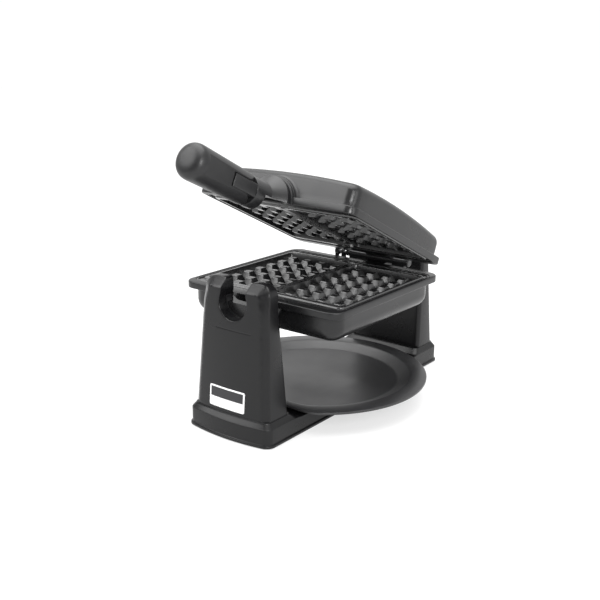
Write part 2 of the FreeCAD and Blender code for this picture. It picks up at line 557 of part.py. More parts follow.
collar = turned(bell_profile(NECK_R, NECK_END))
collar = collar.cut(turned([(-120.0, 26.0), (-129.0, 26.0), (-137.0, 14.0)]))
collar = collar.cut(box(-60, 60, FULL_NECK_Y, 0, 0, RIM + 0.1))
tip = FOLD_Y - TONGUE_REACH
tongue = box(-TONGUE_HX, TONGUE_HX, tip, NECK_END + 2, FLIP_Z - TONGUE_HALF, FLIP_Z + TONGUE_HALF)
reach = fuse(rod_z(0, FOLD_Y, 25.2, 100, 250), box(-40, 40, FOLD_Y, -100, 100, 250),
             box(0, 40, -260, -100, 100, 250))
tongue = tongue.common(reach).common(rod_y(0, FLIP_Z, NECK_R, -300, -100))
collar = collar.fuse(tongue).cut(rod_z(0, FOLD_Y, FOLD_PIN_R + RUN, 100, 250))
for x in (-27.4, 27.4):
    collar = collar.cut(rod_y(x, FLIP_Z + 8.0, 1.3, -124.6, -110))
lid_nodes["handle_collar"] = collar.removeSplitter()
screws = []
for x in (-27.4, 27.4):
    screws.append(rod_y(x, FLIP_Z + 8.0, 1.25, -124.2, -118.0))
lid_nodes["collar_pins"] = Part.makeCompound(screws)
lid_nodes["lid_housing"] = cut(lid_nodes["lid_housing"],
                               *[rod_y(x, FLIP_Z + 8.0, 1.3, -124, -117.9) for x in (-27.4, 27.4)])

# Folding grip
grip = turned([(GRIP_Y0, GRIP_R0), (GRIP_Y1, GRIP_R1)])
grip = grip.cut(box(-40, 40, SLOT_END, -150, FLIP_Z - SLOT_HALF, FLIP_Z + SLOT_HALF))
ends = rod_z(0, FOLD_Y, 17.7, 100, 250).fuse(box(-40, 40, -300, FOLD_Y, 100, 250))
flats = box(-FLAT_HX, FLAT_HX, -300, -100, 100, 250)
grip = grip.common(ends).common(flats)
grip = grip.cut(rod_z(0, FOLD_Y, FOLD_PIN_R + 0.01, 100, FLIP_Z + 16.6))
socket = turned([(GRIP_Y1 - 0.1, 12.0), (GRIP_Y1 + 14.0, 12.0)])
grip = grip.cut(socket)
grip_nodes = {"grip_body": grip.removeSplitter()}
dome_length = GRIP_Y1 - 0.4 - GRIP_TIP
profile = [(GRIP_Y1 + 13.5, 11.9), (GRIP_Y1 - 0.4, 11.9), (GRIP_Y1 - 0.4, GRIP_R1)]
steps = 10
for i in range(1, steps + 1):
    t = math.sin(math.radians(90.0 * i / steps))
    profile.append((GRIP_Y1 - 0.4 - dome_length * t, GRIP_R1 * (1 - t ** 3.0) ** (1 / 3.0)))
profile[-1] = (GRIP_TIP, 1.0)
grip_nodes["grip_end_cap"] = turned(profile)
grip_nodes["fold_pin"] = rod_z(0, FOLD_Y, FOLD_PIN_R, FLIP_Z - 18.2, FLIP_Z + 16.5)

# ---------------------------------------------------------------- pose, centre and write
for name, shape in list(lid_nodes.items()) + list(grip_nodes.items()):
    nodes[name] = shape.rotated(vec(0, HINGE_Y, HINGE_Z), AX, -OPEN_DEG)

extent = FreeCAD.BoundBox()
for shape in nodes.values():
    extent.add(shape.optimalBoundingBox(False))
shift = vec(-(extent.XMin + extent.XMax) / 2, -(extent.YMin + extent.YMax) / 2, -extent.ZMin)
os.makedirs("parts", exist_ok=True)
for name, shape in nodes.items():
    placed = shape.translated(shift)
    placed.exportStep("parts/%s.step" % name)
    print(name, placed.isValid(), len(placed.Solids), round(placed.Volume / 1000.0, 2))
print("shift", shift, "size", extent.XLength, extent.YLength, extent.ZLength)
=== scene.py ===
import math

import bmesh
import bpy
from mathutils import Matrix, Vector
from mathutils.geometry import delaunay_2d_cdt


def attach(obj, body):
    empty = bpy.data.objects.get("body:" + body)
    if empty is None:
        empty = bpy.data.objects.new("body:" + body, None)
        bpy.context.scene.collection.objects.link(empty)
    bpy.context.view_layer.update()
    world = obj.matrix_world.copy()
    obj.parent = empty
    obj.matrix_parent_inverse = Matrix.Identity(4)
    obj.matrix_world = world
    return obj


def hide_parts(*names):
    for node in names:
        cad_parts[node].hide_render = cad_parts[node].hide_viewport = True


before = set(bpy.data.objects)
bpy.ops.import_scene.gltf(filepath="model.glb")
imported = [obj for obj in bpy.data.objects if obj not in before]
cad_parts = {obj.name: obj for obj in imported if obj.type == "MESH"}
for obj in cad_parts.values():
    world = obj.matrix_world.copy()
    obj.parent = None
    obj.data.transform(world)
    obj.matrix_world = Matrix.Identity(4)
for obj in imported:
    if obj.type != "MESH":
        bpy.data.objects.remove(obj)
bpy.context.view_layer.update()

MM = 0.001
SHIFT_Y = 1.0955796662093746
HINGE = (139.5, 168.0)
OPEN = math.radians(25.4)
FLIP_Z = 167.5
RIM, LOW_TOP = 168.3, 166.7
MIRROR_Z = (LOW_TOP + RIM) / 2 + 0.15


# ------------------------------------------------------------------ mesh tools
class Build:
    """Collects vertices and faces in millimetres, in the shut pose."""

    def __init__(self):
        self.verts = []
        self.faces = []

    def ring(self, points):
        start = len(self.verts)
        self.verts.extend(points)
        return list(range(start, start + len(points)))

    def strip(self, a, b, closed=True):
        n = len(a)
        for i in range(n if closed else n - 1):
            j = (i + 1) % n
            self.faces.append((a[i], a[j], b[j], b[i]))

    def rings(self, rings, closed=True):
        ids = [self.ring(r) for r in rings]
        for a, b in zip(ids, ids[1:]):
            self.strip(a, b, closed)
        return ids

    def cap(self, ring, height, spacing=8.0, extra=()):
        """Fills a closed ring with a fine triangulated surface whose height comes from height(u, v)."""
        flat = [self.verts[i][:2] for i in ring]
        self.fill(ring, flat, spacing, extra, lambda u, v: (u, v, height(u, v)))

    def fill(self, ring, flat, spacing, extra, lift):
        """Triangulates inside a ring given by its flat coordinates; lift(u, v) places each new vertex."""
        u0, u1 = min(p[0] for p in flat), max(p[0] for p in flat)
        v0, v1 = min(p[1] for p in flat), max(p[1] for p in flat)
        points = [Vector(p) for p in flat]
        edges = [(i, (i + 1) % len(flat)) for i in range(len(flat))]
        inside = []
        nu, nv = max(1, int((u1 - u0) / spacing)), max(1, int((v1 - v0) / spacing))
        for i in range(1, nu):
            for j in range(1, nv):
                p = (u0 + (u1 - u0) * i / nu, v0 + (v1 - v0) * j / nv)
                if within(p, flat) and clear_of(p, flat, spacing * 0.45):
                    inside.append(p)
        inside += [p for p in extra if within(p, flat)]
        points += [Vector(p) for p in inside]
        verts, _, faces, origin, _, _ = delaunay_2d_cdt(points, edges, [], 1, 1e-5)
        ids = []
        for k, p in enumerate(verts):
            source = [o for o in origin[k] if o < len(ring)]
            if source:
                ids.append(ring[source[0]])
            else:
                self.verts.append(lift(p[0], p[1]))
                ids.append(len(self.verts) - 1)
        for f in faces:
            self.faces.append(tuple(ids[k] for k in f))


def within(p, loop):
    """Whether a point lies inside a closed flat loop."""
    inside = False
    n = len(loop)
    for i in range(n):
        (x0, y0), (x1, y1) = loop[i], loop[(i + 1) % n]
        if (y0 > p[1]) != (y1 > p[1]) and p[0] < (x1 - x0) * (p[1] - y0) / (y1 - y0) + x0:
            inside = not inside
    return inside


def clear_of(p, loop, gap):
    """Whether a point keeps at least a gap from every edge of a closed flat loop."""
    n = len(loop)
    for i in range(n):
        (x0, y0), (x1, y1) = loop[i], loop[(i + 1) % n]
        dx, dy = x1 - x0, y1 - y0
        length = dx * dx + dy * dy
        t = 0.0 if length == 0 else max(0.0, min(1.0, ((p[0] - x0) * dx + (p[1] - y0) * dy) / length))
        if math.hypot(p[0] - x0 - t * dx, p[1] - y0 - t * dy) < gap:
            return False
    return True


def lid_pose(p):
    """Turns a point of the shut lid to where it stands with the lid open as stored."""
    x, y, z = p
    dy, dz = y - HINGE[0], z - HINGE[1]
    c, s = math.cos(OPEN), math.sin(OPEN)
    return (x, HINGE[0] + dy * c + dz * s, HINGE[1] - dy * s + dz * c)


def piece(name, build, body, material, replaced=(), opened=False, angle=32.0):
    """Turns a Build into a Blender object that rides on a body."""
    points = [lid_pose(p) for p in build.verts] if opened else build.verts
    mesh = bpy.data.meshes.new(name)
    mesh.from_pydata([(x * MM, (y + SHIFT_Y) * MM, z * MM) for x, y, z in points], [], build.faces)
    mesh.update()
    obj = bpy.data.objects.new(name, mesh)
    bpy.context.scene.collection.objects.link(obj)
    tidy(obj, angle)
    obj.data.materials.append(material)
    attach(obj, body)
    if replaced:
        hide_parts(*replaced)
    return obj


def tidy(obj, angle):
    """Joins doubled vertices, orients the faces and shades smooth up to an edge angle."""
    bm = bmesh.new()
    bm.from_mesh(obj.data)
    bmesh.ops.remove_doubles(bm, verts=bm.verts, dist=2e-6)
    bmesh.ops.dissolve_degenerate(bm, edges=bm.edges, dist=1e-6)
    bmesh.ops.recalc_face_normals(bm, faces=bm.faces)
    for face in bm.faces:
        face.smooth = True
    limit = math.radians(angle)
    for edge in bm.edges:
        edge.smooth = len(edge.link_faces) == 2 and edge.calc_face_angle(0.0) < limit
    bm.to_mesh(obj.data)
    bm.free()


def lathe(profile, centre=(0.0, FLIP_Z), n=64, close=True):
    """Revolves (y, radius) points about an axis along Y."""
    build = Build()
    rings = []
    for y, r in profile:
        ring = []
        for k in range(n):
            a = 2 * math.pi * k / n
            ring.append((centre[0] + r * math.cos(a), y, centre[1] + r * math.sin(a)))
        rings.append(ring)
    ids = build.rings(rings)
    if close:
        build.strip(ids[-1], ids[0])
    else:
        build.faces.append(tuple(ids[0]))
        build.faces.append(tuple(reversed(ids[-1])))
    return build


def merge(*builds):
    """One Build holding the vertices and faces of several."""
    whole = Build()
    for b in builds:
        offset = len(whole.verts)
        whole.verts.extend(b.verts)
        whole.faces.extend(tuple(i + offset for i in f) for f in b.faces)
    return whole


def halved(build, z, keep_above):
    """Cuts a closed Build at a height, keeps one side and closes the cut."""
    bm = bmesh.new()
    verts = [bm.verts.new(p) for p in build.verts]
    for f in build.faces:
        if len(set(f)) > 2:
            bm.faces.new([verts[i] for i in dict.fromkeys(f)])
    bmesh.ops.remove_doubles(bm, verts=bm.verts, dist=1e-4)
    geom = bm.verts[:] + bm.edges[:] + bm.faces[:]
    cut = bmesh.ops.bisect_plane(bm, geom=geom, plane_co=(0, 0, z), plane_no=(0, 0, 1),
                                 clear_outer=not keep_above, clear_inner=keep_above)
    edges = [e for e in cut["geom_cut"] if isinstance(e, bmesh.types.BMEdge)]
    bmesh.ops.triangle_fill(bm, edges=edges, use_beauty=True)
    out = Build()
    bm.verts.index_update()
    out.verts = [tuple(v.co) for v in bm.verts]
    out.faces = [tuple(v.index for v in f.verts) for f in bm.faces]
    bm.free()
    return out


def arc(r, steps=5):
    """(inset, drop) pairs round a quarter circle, from the side to the top."""
    return [(r * (1 - math.cos(a)), r * (1 - math.sin(a)))
            for a in (math.pi / 2 * k / steps for k in range(steps + 1))]


# ------------------------------------------------------------------ materials
def shader(name, colour, rough, spec=0.5, metallic=0.0):
    mat = bpy.data.materials.new(name)
    mat.use_nodes = True
    nodes, links = mat.node_tree.nodes, mat.node_tree.links
    bsdf = nodes["Principled BSDF"]
    bsdf.inputs["Base Color"].default_value = (*colour, 1)
    bsdf.inputs["Roughness"].default_value = rough
    bsdf.inputs["Specular IOR Level"].default_value = spec
    bsdf.inputs["Metallic"].default_value = metallic
    return mat, nodes, links, bsdf


def noise(nodes, links, coords, scale, detail=3.0):
    tex = nodes.new("ShaderNodeTexNoise")
    tex.inputs["Scale"].default_value = scale
    tex.inputs["Detail"].default_value = detail
    links.new(coords, tex.inputs["Vector"])
    return tex.outputs["Fac"]


def ramp(nodes, links, value, low, high, a=0.35, b=0.65):
    node = nodes.new("ShaderNodeMapRange")
    node.inputs["From Min"].default_value = a
    node.inputs["From Max"].default_value = b
    node.inputs["To Min"].default_value = low
    node.inputs["To Max"].default_value = high
    links.new(value, node.inputs["Value"])
    return node.outputs["Result"]


def tint(nodes, links, value, dark, light, target):
    mix = nodes.new("ShaderNodeMix")
    mix.data_type = "RGBA"
    mix.inputs[6].default_value = (*dark, 1)
    mix.inputs[7].default_value = (*light, 1)
    links.new(value, mix.inputs[0])
    links.new(mix.outputs[2], target)


def bump(nodes, links, value, strength, distance, target):
    node = nodes.new("ShaderNodeBump")
    node.inputs["Strength"].default_value = strength
    node.inputs["Distance"].default_value = distance
    links.new(value, node.inputs["Height"])
    links.new(node.outputs["Normal"], target)


def plastic(name, colour, rough, grain=1400.0, depth=0.00004, spec=0.5, spread=0.05):
    """Moulded plastic: fine spark-eroded grain, slight gloss and tone drift."""
    mat, nodes, links, bsdf = shader(name, colour, rough, spec)
    coords = nodes.new("ShaderNodeTexCoord").outputs["Object"]
    fine = noise(nodes, links, coords, grain, 2.0)
    broad = noise(nodes, links, coords, 14.0, 3.0)
    tint(nodes, links, ramp(nodes, links, broad, 0.0, 1.0),
         tuple(c * 0.92 for c in colour), tuple(c * 1.08 for c in colour), bsdf.inputs["Base Color"])
    links.new(ramp(nodes, links, broad, rough - spread, rough + spread), bsdf.inputs["Roughness"])
    bump(nodes, links, fine, 0.25, depth, bsdf.inputs["Normal"])
    return mat


def coating(name):
    """Glossy non-stick coating over cast aluminium: faint casting texture and orange peel."""
    mat, nodes, links, bsdf = shader(name, (0.016, 0.016, 0.017), 0.26, 0.7)
    bsdf.inputs["Coat Weight"].default_value = 0.35
    bsdf.inputs["Coat Roughness"].default_value = 0.12
    coords = nodes.new("ShaderNodeTexCoord").outputs["Object"]
    peel = noise(nodes, links, coords, 420.0, 3.0)
    wear = noise(nodes, links, coords, 60.0, 4.0)
    tint(nodes, links, ramp(nodes, links, wear, 0.0, 1.0), (0.013, 0.013, 0.014),
         (0.020, 0.020, 0.020), bsdf.inputs["Base Color"])
    links.new(ramp(nodes, links, wear, 0.24, 0.32), bsdf.inputs["Roughness"])
    bump(nodes, links, peel, 0.08, 0.00006, bsdf.inputs["Normal"])
    return mat


def metal(name, colour, rough, brushed=True):
    mat, nodes, links, bsdf = shader(name, colour, rough, 0.5, 1.0)
    coords = nodes.new("ShaderNodeTexCoord").outputs["Object"]
    source = coords
    if brushed:
        mapping = nodes.new("ShaderNodeMapping")
        mapping.inputs["Scale"].default_value = (0.05, 1.0, 1.0)
        links.new(coords, mapping.inputs["Vector"])
        source = mapping.outputs["Vector"]
    grain = noise(nodes, links, source, 2600.0, 2.0)
    links.new(ramp(nodes, links, grain, rough * 0.8, rough * 1.25), bsdf.inputs["Roughness"])
    tint(nodes, links, ramp(nodes, links, grain, 0.0, 1.0), tuple(c * 0.88 for c in colour),
         colour, bsdf.inputs["Base Color"])
    bump(nodes, links, grain, 0.1, 0.00003, bsdf.inputs["Normal"])
    return mat


M_LID = plastic("lid_plastic", (0.010, 0.010, 0.0105), 0.32, spec=0.42)
M_SHELL = plastic("housing_plastic", (0.008, 0.008, 0.0085), 0.30, spec=0.36)
M_PILLAR = plastic("pillar_plastic", (0.006, 0.006, 0.0065), 0.30, spec=0.28)
M_BASE = plastic("base_plastic", (0.006, 0.006, 0.0065), 0.30, spec=0.28)
M_GRIP = plastic("grip_plastic", (0.008, 0.008, 0.0085), 0.40, 1100.0, 0.00005, 0.42)
M_TRAY = plastic("tray_plastic", (0.020, 0.020, 0.021), 0.34, spec=0.5)
M_LINER = plastic("liner_plastic", (0.014, 0.014, 0.015), 0.34)
M_RUBBER = plastic("rubber", (0.015, 0.015, 0.016), 0.7, 800.0, 0.00008)
M_BLOCK = plastic("insulator", (0.55, 0.52, 0.45), 0.5)
M_PLATE = coating("non_stick")
M_STEEL = metal("steel", (0.60, 0.60, 0.61), 0.30)
M_ELEMENT = metal("element_steel", (0.30, 0.28, 0.26), 0.42, False)
M_REFLECTOR = metal("reflector_sheet", (0.78, 0.78, 0.79), 0.22)
M_DARK = plastic("black_coated_steel", (0.018, 0.018, 0.019), 0.30, 900.0)


# ------------------------------------------------------------------ plans
def plan(base, n=8, m=12):
    """Rounded rectangle (half width, front, back, corner) as (x, y, outward x, outward y) samples."""
    hx, y0, y1, r = base
    corners = ((hx - r, y1 - r, 0), (-hx + r, y1 - r, 90), (-hx + r, y0 + r, 180), (hx - r, y0 + r, 270))
    out = []
    for q, (cx, cy, start) in enumerate(corners):
        for k in range(n + 1):
            a = math.radians(start + 90 * k / n)
            out.append((cx + r * math.cos(a), cy + r * math.sin(a), math.cos(a), math.sin(a)))
        nx, ny, nstart = corners[(q + 1) % 4]
        a = math.radians(nstart)
        ex, ey = nx + r * math.cos(a), ny + r * math.sin(a)
        sx, sy = out[-1][0], out[-1][1]
        for k in range(1, m):
            t = k / m
            out.append((sx + (ex - sx) * t, sy + (ey - sy) * t, math.cos(a), math.sin(a)))
    return out


def inset(samples, d, z):
    """Ring at distance d inside a plan; d and z may be functions of the sample."""
    ring = []
    for s in samples:
        k = d(s) if callable(d) else d
        x, y = s[0] - s[2] * k, s[1] - s[3] * k
        ring.append((x, y, z(x, y) if callable(z) else z))
    return ring


def blend_ease(t):
    """Smooth step from 0 to 1."""
    t = max(0.0, min(1.0, t))
    return t * t * (3 - 2 * t)


def ring_at(base, z, n=8, m=12):
    """Ring on a rounded rectangle at one height."""
    return inset(plan(base, n, m), 0.0, z)


def grown(base, d):
    """Rounded rectangle offset outwards by d."""
    hx, y0, y1, r = base
    return (hx + d, y0 - d, y1 + d, r + d)


def add_hole_faces(build, loop, depth):
    """Recess in a flat face: wall and floor of a blind hole whose mouth is already a ring."""
    deep = build.ring([(build.verts[i][0], build.verts[i][1], build.verts[i][2] + depth) for i in loop])
    build.strip(loop, deep)
    build.faces.append(tuple(deep))


def flat_with_holes(build, ring, z, holes, depth, spacing=12.0):
    """Caps a ring at one height, leaving blind round holes in it."""
    loop = [(build.verts[i][0], build.verts[i][1]) for i in ring]
    points = [Vector(p) for p in loop]
    edges = [(i, (i + 1) % len(loop)) for i in range(len(loop))]
    rims = []
    for cx, cy, r in holes:
        start = len(points)
        rim = []
        for k in range(20):
            a = 2 * math.pi * k / 20
            points.append(Vector((cx + r * math.cos(a), cy + r * math.sin(a))))
            rim.append(start + k)
        edges += [(rim[k], rim[(k + 1) % 20]) for k in range(20)]
        rims.append(rim)
    u0, u1 = min(p[0] for p in loop), max(p[0] for p in loop)
    v0, v1 = min(p[1] for p in loop), max(p[1] for p in loop)
    nu, nv = int((u1 - u0) / spacing), int((v1 - v0) / spacing)
    for i in range(1, nu):
        for j in range(1, nv):
            p = (u0 + (u1 - u0) * i / nu, v0 + (v1 - v0) * j / nv)
            away = all(math.hypot(p[0] - h[0], p[1] - h[1]) > h[2] + 2 for h in holes)
            if away and within(p, loop) and clear_of(p, loop, spacing * 0.4):
                points.append(Vector(p))
    verts, _, faces, origin, _, _ = delaunay_2d_cdt(points, edges, [], 1, 1e-5)
    ids, back = [], {}
    for k, p in enumerate(verts):
        first = min(origin[k]) if origin[k] else -1
        if 0 <= first < len(ring):
            ids.append(ring[first])
        else:
            build.verts.append((p[0], p[1], z))
            ids.append(len(build.verts) - 1)
        for o in origin[k]:
            back[o] = ids[-1]
    for f in faces:
        cx = sum(verts[k][0] for k in f) / len(f)
        cy = sum(verts[k][1] for k in f) / len(f)
        if all(math.hypot(cx - h[0], cy - h[1]) > h[2] * 0.98 for h in holes):
            build.faces.append(tuple(ids[k] for k in f))
    for rim in rims:
        add_hole_faces(build, [back[i] for i in rim], depth)


# ------------------------------------------------------------------ lid
LID = (119.0, -118.6, 121.8, 13.0)
DOME = (111.7, -110.8, 119.4, 14.0)
POCKET = (116.6, -108.8, 106.6, 12.2)
ROOT, LID_WALL = 1.6, 2.6


DOME_RADIUS, DOME_MIDDLE, DOME_TOP = 1190.0, -7.9, 47.1
FLANGE, DOME_EDGE = 9.7, 9.0


def dome_height(drop=0.0):
    """Height of the slightly crowned lid top, or of a surface lower by drop."""
    top = RIM + DOME_TOP - drop
    return lambda x, y: top - DOME_RADIUS + math.sqrt(DOME_RADIUS ** 2 - x * x - (y - DOME_MIDDLE) ** 2)


def edge_radius(extra=0.0):
    """Rounding of the dome's shoulder: tight in front and at the sides, broad at the back."""
    def value(s):
        x, ny = s[0], s[3]
        around = blend_ease(ny / 0.9) * 4.0
        if ny > 0.999:
            around += 8.5 * blend_ease((DOME[0] - DOME[3] - abs(x)) / 40.0)
        return DOME_EDGE + around - extra
    return value


def dome_shoulder(samples, top, radius, steps):
    """Rings round the shoulder, from the wall up to the crowned top."""
    rings = []
    for k in range(steps + 1):
        a = math.pi / 2 * k / steps
        ring = []
        for s in samples:
            rr = radius(s)
            d = rr * (1 - math.cos(a))
            x, y = s[0] - s[2] * d, s[1] - s[3] * d
            ring.append((x, y, top(x, y) - rr * (1 - math.sin(a))))
        rings.append(ring)
    return rings


def lid_shell():
    b = Build()
    rings = [ring_at(POCKET, RIM + 4.4), ring_at(POCKET, RIM + 0.5), ring_at(grown(POCKET, 0.5), RIM)]
    lid = plan(LID)
    for d, drop in reversed(arc(1.4, 4)):
        rings.append(inset(lid, d, RIM + drop))
    for d, drop in arc(1.4, 4):
        rings.append(inset(lid, d, RIM + FLANGE - drop))
    wall = plan(DOME)
    top = dome_height()
    for k in range(4):
        a = math.pi / 2 * k / 3
        rings.append(inset(wall, -ROOT * (1 - math.sin(a)), RIM + FLANGE + ROOT * (1 - math.cos(a))))
    rings.append(inset(wall, 0.0, RIM + 18.0))
    rings += dome_shoulder(wall, top, edge_radius(), 8)
    ids = b.rings(rings)
    b.cap(ids[-1], top, 11.0)
    inner = plan((109.1, -108.2, 116.8, 11.4))
    low = dome_height(LID_WALL)
    throat = (109.0, -101.0, 99.0, 9.0)
    inner_rings = [ring_at(POCKET, RIM + 4.4), ring_at(throat, RIM + 4.4),
                   ring_at(throat, RIM + 8.0), inset(inner, 0.0, RIM + 8.2)]
    inner_rings += dome_shoulder(inner, low, edge_radius(LID_WALL), 4)
    inner_ids = b.rings(inner_rings)
    b.cap(inner_ids[-1], low, 22.0)
    return b


def boss_profile(y_wall, front, depth):
    """Half-round boss with a rooted foot, a fine groove and a ring, from the wall outwards."""
    return [(y_wall + depth, 20.0), (y_wall + depth, 37.6), (y_wall + 0.3, 37.6), (y_wall - 0.9, 35.6),
            (y_wall - 2.4, 34.6), (front + 4.4, 34.3), (front + 4.0, 33.9), (front + 3.9, 33.3),
            (front + 3.5, 33.3), (front + 3.4, 33.8), (front + 3.0, 34.1), (front + 0.8, 34.1),
            (front + 0.25, 33.8), (front, 33.2), (front, 20.0)]


lid = merge(lid_shell(), halved(lathe(boss_profile(-110.8, -120.4, 6.0), n=96), RIM + 0.1, True))
piece("lid_shell", lid, "lid", M_LID, ("lid_housing",), opened=True)


# ------------------------------------------------------------------ lower housing
LOW = (121.4, -120.8, 119.2, 16.0)
SHELL = (114.0, -113.4, 109.6, 20.0)
BAND, SHELL_Z0 = 9.1, 124.5


def lower_shell():
    b = Build()
    rings = [ring_at(POCKET, LOW_TOP - 3.8), ring_at(POCKET, LOW_TOP - 0.6),
             ring_at(grown(POCKET, 0.6), LOW_TOP)]
    band = plan(LOW)
    for d, drop in reversed(arc(1.8, 5)):
        rings.append(inset(band, d, LOW_TOP - drop))
    for d, drop in arc(1.3, 4):
        rings.append(inset(band, d, LOW_TOP - BAND + drop))
    wall = plan(SHELL)
    for k in range(4):
        a = math.pi / 2 * k / 3
        rings.append(inset(wall, -ROOT * (1 - math.sin(a)), LOW_TOP - BAND - ROOT * (1 - math.cos(a))))
    for d, drop in arc(18.0, 9):
        rings.append(inset(wall, d, SHELL_Z0 + drop))
    ids = b.rings(rings)
    screws = [(x, y, 4.3) for x in (-92.0, 92.0) for y in (-82.0, 80.0)]
    flat_with_holes(b, ids[-1], SHELL_Z0, screws, 5.0)
    throat = (112.0, -94.0, 94.0, 8.0)
    inner = plan((111.4, -110.8, 107.0, 17.4))
    inner_rings = [ring_at(POCKET, LOW_TOP - 3.8), ring_at(throat, LOW_TOP - 3.8),
                   ring_at(throat, LOW_TOP - 8.8), inset(inner, 0.0, LOW_TOP - 9.4)]
    for d, drop in arc(15.4, 5):
        inner_rings.append(inset(inner, d, 127.1 + drop))
    inner_ids = b.rings(inner_rings)
    b.cap(inner_ids[-1], lambda x, y: 127.1, 30.0)
    return b


low = merge(lower_shell(), halved(lathe(boss_profile(-113.4, -121.4, 6.0), n=96), LOW_TOP - 0.8, False))
piece("lower_shell", low, "lower_half", M_SHELL, ("lower_housing",))


# ------------------------------------------------------------------ waffle plates
PLATE = (116.4, -108.6, 106.4, 12.0)
LIP = (111.0, -96.5, 96.5, 8.0)
PITCH, HALF_BAR, DEPTH = 24.5, 6.2, 12.0
FLOOR = 152.4


def stud(x, y):
    """Truncated pyramid with a filleted foot and narrow softened edges."""
    steps = [(-0.3, 10.0, 1.2), (0.0, 9.8, 1.2), (0.4, 9.55, 1.1), (1.0, 9.3, 1.0), (10.9, 5.42, 0.75),
             (11.5, 5.2, 0.75), (11.85, 4.98, 0.7), (12.0, 4.6, 0.6)]
    b = Build()
    rings = []
    for z, half, r in steps:
        ring = []
        for cx, cy, start in ((1, 1, 0), (-1, 1, 90), (-1, -1, 180), (1, -1, 270)):
            for k in range(4):
                a = math.radians(start + 30 * k)
                ring.append((x + cx * (half - r) + r * math.cos(a),
                             y + cy * (half - r) + r * math.sin(a), FLOOR + z))
        rings.append(ring)
    ids = b.rings(rings)
    b.faces.append(tuple(ids[-1]))
    b.faces.append(tuple(reversed(ids[0])))
    return b


def waffle_plate():
    """Lower plate: raised lip inside a moat, and two fields of studs."""
    b = Build()
    m = 6
    rings = [ring_at((109.5, -90.0, 90.0, 6.0), 150.0, m=m), ring_at((109.5, -90.0, 90.0, 6.0), 162.6, m=m),
             ring_at(PLATE, 162.8, m=m)]
    edge = plan(PLATE, m=m)
    for d, drop in arc(0.7, 3):
        rings.append(inset(edge, d, 166.3 - drop))
    for d, drop in reversed(arc(0.5, 3)):
        rings.append(inset(edge, 2.0 - d, 166.3 - drop))
    rings.append(inset(edge, 2.1, 165.3))
    rings.append(inset(edge, 2.6, 164.9))
    lip = plan(LIP, m=m)
    rings.append(inset(lip, -1.5, 164.9))
    rings.append(inset(lip, -0.6, 165.2))
    for d, drop in arc(0.8, 3):
        rings.append(inset(lip, d, 166.9 - drop))
    ids = b.rings(rings)
    outer_loop = ids[-1]
    wells = []
    for side in (-1, 1):
        near, far = HALF_BAR, HALF_BAR + 4 * PITCH
        mid = side * (near + far) / 2
        half = (far - near) / 2
        deep = 3.5 * PITCH
        loops = []
        profile = [(3.9, 166.9), (3.5, 166.75), (3.25, 166.3), (2.4, 160.0), (1.3, 153.9),
                   (0.9, 153.0), (0.2, 152.5), (-0.8, 152.4)]
        for spread, z in profile:
            shift = side * max(spread, 0.0) * 0.35
            wide = half + spread * 0.65
            ring = [(x + mid + shift, y, zz) for x, y, zz in
                    ring_at((wide, -deep - spread, deep + spread, 3.2 + max(spread, 0.0) * 0.5), z, n=5, m=m)]
            loops.append(ring)
        wells.append(b.rings(loops))
    for well in wells:
        b.faces.append(tuple(well[-1]))
    top_surface(b, outer_loop, [w[0] for w in wells], 166.9)
    back = [ring_at((109.5, -90.0, 90.0, 6.0), 150.0, m=m)]
    b.faces.append(tuple(b.rings(back)[0]))
    studs = [stud(side * (HALF_BAR + (i + 0.5) * PITCH), (j - 3) * PITCH)
             for side in (-1, 1) for i in range(4) for j in range(7)]
    return merge(b, *studs)


def top_surface(b, outer, holes, z):
    """Flat face between an outer ring and the mouths of the wells."""
    ids = list(outer)
    points = [Vector(b.verts[i][:2]) for i in outer]
    edges = [(i, (i + 1) % len(outer)) for i in range(len(outer))]
    loops = []
    for hole in holes:
        start = len(points)
        points += [Vector(b.verts[i][:2]) for i in hole]
        edges += [(start + i, start + (i + 1) % len(hole)) for i in range(len(hole))]
        ids += hole
        loops.append([tuple(b.verts[i][:2]) for i in hole])
    verts, _, faces, origin, _, _ = delaunay_2d_cdt(points, edges, [], 1, 1e-6)
    index = [ids[min(origin[k])] if origin[k] else None for k in range(len(verts))]
    for f in faces:
        centre = (sum(verts[k][0] for k in f) / len(f), sum(verts[k][1] for k in f) / len(f))
        if not any(within(centre, loop) for loop in loops):
            b.faces.append(tuple(index[k] for k in f))


grid = waffle_plate()
piece("waffle_plate_lower", grid, "lower_half", M_PLATE, ("lower_plate",))
upper = Build()
upper.verts = [(x, y, 2 * MIRROR_Z - z) for x, y, z in grid.verts]
upper.faces = [tuple(reversed(f)) for f in grid.faces]
piece("waffle_plate_lid", upper, "lid", M_PLATE, ("lid_plate",), opened=True)


# ------------------------------------------------------------------ half bells, neck and tongue
def flare(neck, start=-126.0, end=-140.0, rim=31.5, steps=14):
    """Curved (y, radius) run from the rim of the bell down to its neck."""
    out = []
    for i in range(steps + 1):
        turn = math.sin(math.pi / 2 * i / steps)
        out.append((start - (start - end) * turn, neck + (rim - neck) * (1 - turn) ** 1.15))
    return out


def bell(neck, end):
    """Profile of the bell and its neck, closed inside."""
    outer = [(-120.6, 24.0), (-120.6, 30.4), (-121.9, 30.4), (-122.0, 31.0), (-122.4, 31.5),
             (-125.0, 31.5)] + flare(neck)
    return outer + [(end + 0.6, neck), (end, neck - 0.6), (end, 0.02), (-138.0, 0.02), (-137.0, 14.0),
                    (-129.0, 26.0), (-122.0, 26.0)]


def solid_rod(r0, r1, y0, y1, edge, n=72):
    """Closed round bar along Y from y0 down to y1 with softened ends."""
    profile = [(y0, r0 - edge), (y0 - edge * 0.3, r0 - edge * 0.3), (y0 - edge, r0),
               (y1 + edge, r1), (y1 + edge * 0.3, r1 - edge * 0.3), (y1, r1 - edge)]
    return lathe(profile, n=n, close=False)


